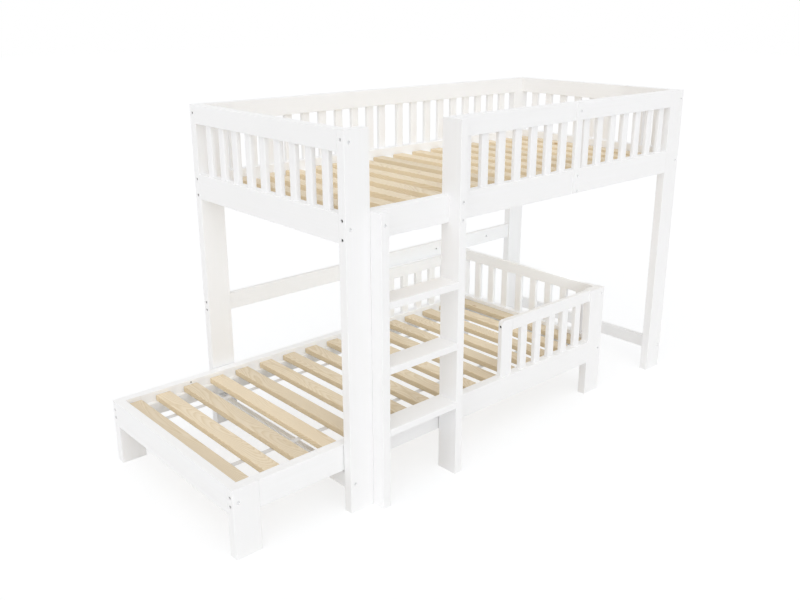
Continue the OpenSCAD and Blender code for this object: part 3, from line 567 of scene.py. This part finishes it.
class LOFTBED_OT_tapes(bpy.types.Operator):
    """Run the woven tapes under the slats and staple them to each slat"""

    bl_idname = "loftbed.tapes"
    bl_label = "Run the tapes"

    def execute(self, context):
        look = context.scene.loft_bed_look
        cloth = woven_tape()
        zinc = plated_steel("zinc_plated_staple_wire", look.zinc, 0.35)
        for node, slats, body in (("loft_slat_tapes", "loft_slats", "loft"),
                                  ("bed_slat_tapes", "bed_slats", "low_bed")):
            tapes = [box_of(s) for s in solids_of(node)]
            rungs = [box_of(s) for s in solids_of(slats)]
            verts, faces, spots = [], [], []
            for low, high in tapes:
                self.tape(verts, faces, low, high)
                for a, b in rungs:
                    for share in STAPLES_AT:
                        spots.append(((a.x + (b.x - a.x) * share), (low.y + high.y) / 2, low.z))
            mesh = bpy.data.meshes.new("woven_" + node)
            mesh.from_pydata(verts, [], faces)
            mesh.validate()
            new_piece("woven_" + node, mesh, body, [node], cloth)
            staples = grow("staples_" + node, point_mesh(node + "_staples", spots), self.staple_tree(), {
                "Crown": look.staple_width, "Wire": look.staple_wire, "Material": zinc})
            new_piece("staples_" + node, staples, body, [])
        return {"FINISHED"}

    @staticmethod
    def tape(verts, faces, low, high):
        """One flat tape with rounded selvedges, from the first slat to the last."""
        thick, middle = high.z - low.z, (high.z + low.z) / 2
        ring = []
        for side in (1, -1):
            edge = high.y if side > 0 else low.y
            for k in range(5):
                turn = math.radians(-90 + 45 * k) * side
                ring.append((edge - side * thick / 2 + side * math.cos(turn) * thick / 2,
                             middle + math.sin(turn) * thick / 2))
        start = len(verts)
        for x in (low.x, high.x):
            verts.extend((x, y, z) for y, z in ring)
        n = len(ring)
        faces.extend([start + i, start + (i + 1) % n, start + n + (i + 1) % n, start + n + i]
                     for i in range(n))
        faces.append([start + i for i in reversed(range(n))])
        faces.append([start + n + i for i in range(n)])

    @staticmethod
    def staple_tree():
        """The crowns of staples pressed into the tape, one on each point."""
        tree, given = new_tree("staple_rows", [
            ("Crown", "Float", 0.011), ("Wire", "Float", 0.0011), ("Material", "Material", None)])
        half = calc(tree, "MULTIPLY", given.outputs["Crown"], 0.5)
        low = calc(tree, "MULTIPLY", half, -1.0)
        ends = [add(tree, "ShaderNodeCombineXYZ", {"Y": y}) for y in (low, half)]
        path = add(tree, "GeometryNodeCurvePrimitiveLine", {"Start": ends[0], "End": ends[1]})
        thick = calc(tree, "MULTIPLY", given.outputs["Wire"], 0.5)
        wire = add(tree, "GeometryNodeCurvePrimitiveCircle", {
            "Resolution": 8, "Radius": thick}, mode="RADIUS")
        crown = add(tree, "GeometryNodeCurveToMesh", {
            "Curve": path, "Profile Curve": wire, "Fill Caps": True})
        rows = add(tree, "GeometryNodeInstanceOnPoints", {
            "Points": given.outputs["Geometry"], "Instance": crown})
        close_tree(tree, given, rows)
        return tree


class LOFTBED_OT_bolts(bpy.types.Operator):
    """Drive the connector bolts, each with a chamfered head and a hexagon socket"""

    bl_idname = "loftbed.bolts"
    bl_label = "Drive the bolts"

    def execute(self, context):
        look = context.scene.loft_bed_look
        finishes = {"black": plated_steel("black_plated_steel", look.bolt, 0.42),
                    "bright": plated_steel("bright_plated_steel", look.bright, 0.5)}
        head = bpy.data.objects.new("bolt_head_pattern", self.head(look))
        context.scene.collection.objects.link(head)
        tree = self.bolt_tree()
        for node, body in (("loft_bolts", "loft"), ("lap_bolts", "loft"), ("ladder_bolts", "loft"),
                           ("bed_bolts", "low_bed")):
            plans = {"black": [], "bright": []}
            for solid in solids_of(node):
                low, high = box_of(solid)
                size = high - low
                axis = max(range(3), key=lambda i: size[i])
                middle = (low + high) / 2
                # The head is at the end where the corners lie furthest from the bolt's line
                near = [p for p in solid if p[axis] < low[axis] + 0.5 * look.head_height]
                wide = max(sum((p[i] - middle[i]) ** 2 for i in range(3) if i != axis) for p in near)
                forward = wide > (0.7 * look.head_width / 2) ** 2
                spot = middle.copy()
                spot[axis] = low[axis] if forward else high[axis]
                way = Vector([0, 0, 0])
                way[axis] = 1 if forward else -1
                # Bolts that run lengthwise are black, those that run across the bed are bright
                plans["black" if axis == 0 else "bright"].append(
                    (spot, Vector(way.to_track_quat("Z", "Y").to_euler()), size[axis] - look.head_height))
            replaced = [node]
            for finish, plan in plans.items():
                if not plan:
                    continue
                spots, turns, reaches = zip(*plan)
                name = finish + "_" + node
                mesh = grow(name, point_mesh(name + "_plan", spots, turn=turns, reach=reaches), tree, {
                    "Head": head, "Shank": look.shank_width, "Head Height": look.head_height,
                    "Material": finishes[finish]})
                new_piece(name, mesh, body, replaced)
                replaced = []
        bpy.data.objects.remove(head)
        return {"FINISHED"}

    @staticmethod
    def head(look):
        """A cap head, from its outer face at z = 0 towards +Z, with the hexagon socket in that face."""
        n, r, high = 24, look.head_width / 2, look.head_height
        chamfer, flats, deep = 0.12 * r, look.key_width / 2, 0.62 * high

        def circle(radius, z):
            turns = [math.tau * k / n for k in range(n)]
            return [(radius * math.cos(turn), radius * math.sin(turn), z) for turn in turns]

        def hexagon(z):
            ring = []
            for k in range(n):
                turn = math.tau * k / n
                far = flats / math.cos((turn + math.pi / 6) % (math.pi / 3) - math.pi / 6)
                ring.append((far * math.cos(turn), far * math.sin(turn), z))
            return ring

        rings = [hexagon(deep), hexagon(0), circle(r - chamfer, 0), circle(r, chamfer), circle(r, high)]
        verts = [p for ring in rings for p in ring]
        faces = [[i * n + (k + 1) % n, i * n + k, (i + 1) * n + k, (i + 1) * n + (k + 1) % n]
                 for i in range(len(rings) - 1) for k in range(n)]
        faces.append(list(reversed(range(n))))
        faces.append([(len(rings) - 1) * n + k for k in range(n)])
        mesh = bpy.data.meshes.new("bolt_head_pattern")
        mesh.from_pydata(verts, [], faces)
        mesh.validate()
        return mesh

    @staticmethod
    def bolt_tree():
        """A head and a shank on each point, turned and lengthened by the point's own values."""
        tree, given = new_tree("bolt_rows", [
            ("Head", "Object", None), ("Shank", "Float", 0.006), ("Head Height", "Float", 0.005),
            ("Material", "Material", None)])
        turn = add(tree, "GeometryNodeInputNamedAttribute", {"Name": "turn"}, data_type="FLOAT_VECTOR")
        reach = add(tree, "GeometryNodeInputNamedAttribute", {"Name": "reach"}, data_type="FLOAT")
        head = add(tree, "GeometryNodeObjectInfo", {
            "Object": given.outputs["Head"]}, transform_space="ORIGINAL")
        radius = calc(tree, "MULTIPLY", given.outputs["Shank"], 0.5)
        rod = add(tree, "GeometryNodeMeshCylinder", {"Vertices": 16, "Radius": radius, "Depth": 1.0})
        lift = add(tree, "ShaderNodeCombineXYZ", {"Z": 0.5})
        rod = add(tree, "GeometryNodeTransform", {"Geometry": rod, "Translation": lift})
        heads = add(tree, "GeometryNodeInstanceOnPoints", {
            "Points": given.outputs["Geometry"], "Instance": head.outputs["Geometry"], "Rotation": turn})
        size = add(tree, "ShaderNodeCombineXYZ", {"X": 1.0, "Y": 1.0, "Z": reach})
        rods = add(tree, "GeometryNodeInstanceOnPoints", {
            "Points": given.outputs["Geometry"], "Instance": rod, "Rotation": turn, "Scale": size})
        down = add(tree, "ShaderNodeCombineXYZ", {"Z": given.outputs["Head Height"]})
        rods = add(tree, "GeometryNodeTranslateInstances", {"Instances": rods, "Translation": down})
        both = add(tree, "GeometryNodeJoinGeometry")
        tree.links.new(heads.outputs[0], both.inputs[0])
        tree.links.new(rods.outputs[0], both.inputs[0])
        close_tree(tree, given, both)
        return tree


class LOFTBED_OT_hardware(bpy.types.Operator):
    """Finish the nuts in zinc plated steel, the ledgers' screws in white lacquer and the dowels in beech"""

    bl_idname = "loftbed.hardware"
    bl_label = "Finish nuts, screws and dowels"

    def execute(self, context):
        look = context.scene.loft_bed_look
        dress(("loft_barrel_nuts", "bed_barrel_nuts", "sleeve_nuts"),
              plated_steel("zinc_plated_steel", look.zinc, 0.3))
        dress(("loft_ledger_screws", "bed_ledger_screws"), lacquered_steel())
        dress(("loft_dowels", "bed_dowels"), turned_beech())
        self.lone_screw(look)
        return {"FINISHED"}

    @staticmethod
    def lone_screw(look):
        """The one small screw head on the inner face of the low bed's back rail."""
        low, high = box_of([v.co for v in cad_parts["bed_side_rail_back"].data.vertices])
        left = box_of([v.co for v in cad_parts["bed_end_board_left"].data.vertices])[0].x
        n, radius, proud = 20, 3 * MM, 1.2 * MM
        from_left, under_top = 335 * MM, 9 * MM
        middle = Vector((left + from_left, low.y, high.z - under_top))
        rings = ((radius, 0.0), (radius, -0.5 * proud), (0.7 * radius, -proud),
                 (0.3 * radius, -proud), (0.25 * radius, -0.3 * proud))
        verts = [tuple(middle + Vector((r * math.cos(math.tau * k / n), y, r * math.sin(math.tau * k / n))))
                 for r, y in rings for k in range(n)]
        faces = [[i * n + k, i * n + (k + 1) % n, (i + 1) * n + (k + 1) % n, (i + 1) * n + k]
                 for i in range(len(rings) - 1) for k in range(n)]
        faces.append(list(reversed(range(n))))
        faces.append([(len(rings) - 1) * n + k for k in range(n)])
        mesh = bpy.data.meshes.new("lone_screw")
        mesh.from_pydata(verts, [], faces)
        mesh.validate()
        new_piece("lone_screw", mesh, "low_bed", [], bpy.data.materials["black_plated_steel"])


# ---------------------------------------------------------------- stage

# Name, strength setting and direction of each soft lamp
LAMPS = (("key_lamp", "key", (0.50, 0.50, -0.71)),
         ("front_lamp", "front", (0.12, 0.70, -0.71)),
         ("side_lamp", "side", (0.70, 0.06, -0.71)))
# Name, power setting, place in metres and direction of each lamp inside the bed
FILLS = (("low_fill_lamp", "fill_low", (0.2955, -0.32, 0.72), (0.0, 1.0, -0.2)),
         ("high_fill_lamp", "fill_high", (0.2355, -0.20, 1.40), (0.0, 1.0, -0.1)))
FILL_SIZE = (1.9, 0.3)
FILL_COLOUR = (0.80, 0.91, 1.0)
FILL_SPREAD = math.radians(150)
# The floor as the camera sees it: tint of its shaded part, and how much less light the rest gives off
FLOOR_TINT = (0.97, 0.99, 1.02)
FLOOR_SHARE = 0.86
# The camera: turn from +X, tilt down and lean, then its place in metres and its lens shift
CAMERA_ANGLES = (47.49, 17.78, 0.12)
CAMERA_PLACE = (-2.5265, -2.6815, 1.827)
CAMERA_SHIFT = (-0.0134, -0.0278)
SENSOR_MM = 36
CLIP_END = 200


class LOFTBED_OT_stage(bpy.types.Operator):
    """Set the pale floor, the soft lamps and the camera"""

    bl_idname = "loftbed.stage"
    bl_label = "Set the stage"

    def execute(self, context):
        scene, stage = context.scene, context.scene.loft_bed_stage
        self.floor(scene, stage)
        self.sky(scene, stage)
        for name, strength, way in LAMPS:
            self.lamp(scene, name, getattr(stage, strength), stage.lamp_width, way)
        for name, power, place, way in FILLS:
            self.fill(scene, name, getattr(stage, power), place, way)
        self.camera(scene, stage)
        scene.view_settings.view_transform = "Standard"
        return {"FINISHED"}

    @staticmethod
    def floor(scene, stage):
        """A square floor, white to the camera, that keeps the bed's soft shadow."""
        half = stage.floor_size / 2
        mesh = bpy.data.meshes.new("floor")
        corners = [(-half, -half, 0), (half, -half, 0), (half, half, 0), (-half, half, 0)]
        mesh.from_pydata(corners, [], [(0, 1, 2, 3)])
        floor = bpy.data.objects.new("floor", mesh)
        scene.collection.objects.link(floor)
        material = bpy.data.materials.new("matt_white_floor")
        material.use_nodes = True
        tree = material.node_tree
        tree.nodes.clear()
        # Light that falls on it bounces as from any matt floor; the camera sees it lifted to white
        matt = add(tree, "ShaderNodeBsdfDiffuse", {"Color": rgba(stage.floor)})
        path = tree.nodes.new("ShaderNodeLightPath")
        pale = add(tree, "ShaderNodeBsdfDiffuse", {
            "Color": rgba(part * stage.shadow for part in FLOOR_TINT)})
        lift = add(tree, "ShaderNodeEmission", {
            "Color": (1, 1, 1, 1), "Strength": 1.0 - FLOOR_SHARE * stage.shadow})
        shown = add(tree, "ShaderNodeAddShader", {0: pale, 1: lift})
        mixed = add(tree, "ShaderNodeMixShader", {0: path.outputs["Is Camera Ray"], 1: matt, 2: shown})
        add(tree, "ShaderNodeOutputMaterial", {"Surface": mixed})
        mesh.materials.append(material)

    @staticmethod
    def sky(scene, stage):
        """Even light from all sides, seen as white by the camera and in reflections."""
        world = bpy.data.worlds.new("studio")
        scene.world = world
        world.use_nodes = True
        tree = world.node_tree
        tree.nodes.clear()
        path = tree.nodes.new("ShaderNodeLightPath")
        seen = calc(tree, "MAXIMUM", path.outputs["Is Camera Ray"], path.outputs["Is Glossy Ray"])
        seen = calc(tree, "MAXIMUM", seen, path.outputs["Is Transmission Ray"])
        light = add(tree, "ShaderNodeBackground", {"Color": (1, 1, 1, 1), "Strength": stage.sky})
        white = add(tree, "ShaderNodeBackground", {"Color": (1, 1, 1, 1), "Strength": 1.0})
        mixed = add(tree, "ShaderNodeMixShader", {0: seen, 1: light, 2: white})
        add(tree, "ShaderNodeOutputWorld", {"Surface": mixed})

    @staticmethod
    def lamp(scene, name, strength, width, way):
        """A wide soft lamp, far off, that sets front, end and top faces apart."""
        data = bpy.data.lights.new(name, "SUN")
        data.energy = strength
        data.angle = width
        lamp = bpy.data.objects.new(name, data)
        lamp.rotation_euler = Vector(way).to_track_quat("-Z", "Y").to_euler()
        scene.collection.objects.link(lamp)

    @staticmethod
    def fill(scene, name, power, place, way):
        """A soft lamp inside the bed that faces its back and keeps the inner faces pale."""
        data = bpy.data.lights.new(name, "AREA")
        data.energy = power
        data.shape = "RECTANGLE"
        data.size, data.size_y = FILL_SIZE
        data.color = FILL_COLOUR
        data.spread = FILL_SPREAD
        lamp = bpy.data.objects.new(name, data)
        lamp.location = place
        lamp.rotation_euler = Vector(way).to_track_quat("-Z", "Y").to_euler()
        lamp.visible_camera = lamp.visible_glossy = False
        scene.collection.objects.link(lamp)

    @staticmethod
    def camera(scene, stage):
        """The camera, at the height and angle from which the bed was drawn."""
        turn, down, lean = map(math.radians, CAMERA_ANGLES)
        ahead = Vector((math.cos(turn) * math.cos(down), math.sin(turn) * math.cos(down), -math.sin(down)))
        right = Vector((math.sin(turn), -math.cos(turn), 0))
        above = right.cross(ahead)
        right, above = (right * math.cos(lean) + above * math.sin(lean),
                        above * math.cos(lean) - right * math.sin(lean))
        data = bpy.data.cameras.new("camera")
        data.sensor_width = SENSOR_MM
        data.lens = stage.lens
        data.shift_x, data.shift_y = CAMERA_SHIFT
        data.clip_end = CLIP_END
        camera = bpy.data.objects.new("camera", data)
        pose = Matrix((right, above, -ahead)).transposed().to_4x4()
        pose.translation = CAMERA_PLACE
        camera.matrix_world = pose
        scene.collection.objects.link(camera)
        scene.camera = camera


# ---------------------------------------------------------------- panel and run

STEPS = (LOFTBED_OT_boards, LOFTBED_OT_slats, LOFTBED_OT_spindles, LOFTBED_OT_tapes, LOFTBED_OT_bolts,
         LOFTBED_OT_hardware, LOFTBED_OT_stage)


class LOFTBED_PT_steps(bpy.types.Panel):
    """Lists the steps that dress the bed"""

    bl_label = "Loft bed"
    bl_space_type = "VIEW_3D"
    bl_region_type = "UI"
    bl_category = "Loft bed"

    def draw(self, context):
        for step in STEPS:
            self.layout.operator(step.bl_idname)
        for group in (context.scene.loft_bed_look, context.scene.loft_bed_stage):
            box = self.layout.box()
            for name in group.__annotations__:
                box.prop(group, name)


CLASSES = (LoftBedLook, LoftBedStage) + STEPS + (LOFTBED_PT_steps,)


def register():
    for item in CLASSES:
        bpy.utils.register_class(item)
    bpy.types.Scene.loft_bed_look = bpy.props.PointerProperty(type=LoftBedLook)
    bpy.types.Scene.loft_bed_stage = bpy.props.PointerProperty(type=LoftBedStage)


def unregister():
    del bpy.types.Scene.loft_bed_stage
    del bpy.types.Scene.loft_bed_look
    for item in reversed(CLASSES):
        bpy.utils.unregister_class(item)


def main():
    """Dresses the bed step by step."""
    register()
    for step in STEPS:
        group, name = step.bl_idname.split(".")
        getattr(getattr(bpy.ops, group), name)()


if __name__ == "__main__":
    main()
